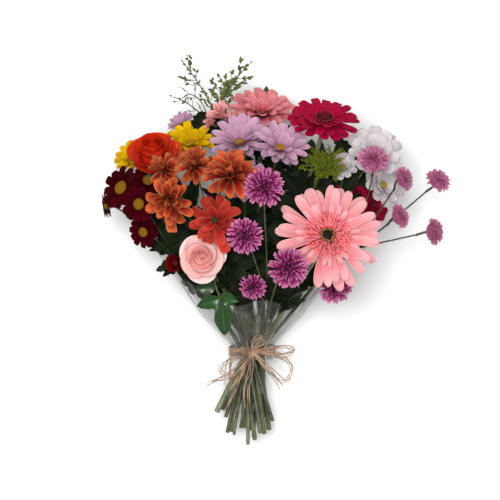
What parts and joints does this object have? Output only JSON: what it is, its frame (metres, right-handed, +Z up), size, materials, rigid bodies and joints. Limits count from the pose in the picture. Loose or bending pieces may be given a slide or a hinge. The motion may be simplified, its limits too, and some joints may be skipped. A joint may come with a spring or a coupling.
{
  "type": "mixed flower bouquet",
  "caption": "Hand-tied bouquet of mixed cut flowers in a cone of clear film, bound with raffia and lying on its back.",
  "frame": {"origin": "on the surface that the bouquet lies on, in the middle of the flat stretch of film under it", "axes": "+Y from the cut stem ends to the heads, +Z up from the surface, +X to the right seen from above"},
  "size_m": [0.3468, 0.3902, 0.2177],
  "materials": {
    "pink_petal": "soft matte petal",
    "dark_crimson_petal": "velvety matte petal",
    "coral_petal": "soft matte petal",
    "rose_pink_petal": "satin petal",
    "rose_orange_petal": "satin petal",
    "red_rose": "satin petal on a green stem",
    "lilac_petal": "soft matte petal",
    "bronze_petal": "soft matte petal",
    "burgundy_petal": "velvety matte petal",
    "yellow_petal": "soft matte petal",
    "white_petal": "soft matte petal",
    "crimson_petal": "velvety matte petal",
    "purple_petal": "soft matte petal",
    "alstroemeria": "satin petal on a green stem",
    "gerbera_eye": "dark disc in small pink florets",
    "stem": "smooth green stem",
    "leaf": "satin leaf",
    "rose_leaf": "glossy leaf",
    "goldenrod": "fine green buds",
    "film": "clear glossy film",
    "raffia": "dry matte fibre"
  },
  "bodies": {
    "root": {"alstroemeria_stem": "alstroemeria", "bronze_1": "bronze_petal", "bronze_2": "bronze_petal", "bronze_3": "bronze_petal", "bronze_4": "bronze_petal", "bronze_5": "bronze_petal", "bronze_stem": "stem", "burgundy_1": "burgundy_petal", "burgundy_2": "burgundy_petal", "burgundy_3": "burgundy_petal", "burgundy_4": "burgundy_petal", "burgundy_5": "burgundy_petal", "burgundy_6": "burgundy_petal", "burgundy_stem": "stem", "crimson_1": "crimson_petal", "crimson_2": "crimson_petal", "crimson_3": "crimson_petal", "crimson_stem": "stem", "film_wrapper": "film", "foliage_back": "leaf", "foliage_left": "leaf", "foliage_right": "leaf", "gerbera_coral": "coral_petal", "gerbera_coral_stem": "stem", "gerbera_crimson": "dark_crimson_petal", "gerbera_crimson_stem": "stem", "gerbera_pink": "pink_petal", "gerbera_pink_disc": "gerbera_eye", "gerbera_pink_stem": "stem", "goldenrod": "goldenrod", "leaf_collar": "leaf", "lilac_1": "lilac_petal", "lilac_2": "lilac_petal", "lilac_3": "lilac_petal", "lilac_4": "lilac_petal", "lilac_stem": "stem", "raffia_binding": "raffia", "raffia_bow": "raffia", "rose_leaves": "rose_leaf", "rose_orange": "rose_orange_petal", "rose_orange_stem": "stem", "rose_pink": "rose_pink_petal", "rose_pink_stem": "stem", "rose_red_stem": "red_rose", "santini_front_1": "purple_petal", "santini_front_2": "purple_petal", "santini_front_3": "purple_petal", "santini_front_4": "purple_petal", "santini_front_5": "purple_petal", "santini_side_spray": "purple_petal", "santini_stem": "stem", "sprigs": "goldenrod", "white_1": "white_petal", "white_2": "white_petal", "white_3": "white_petal", "white_stem": "stem", "yellow_1": "yellow_petal", "yellow_2": "yellow_petal", "yellow_stem": "stem"}
  },
  "joints": []
}
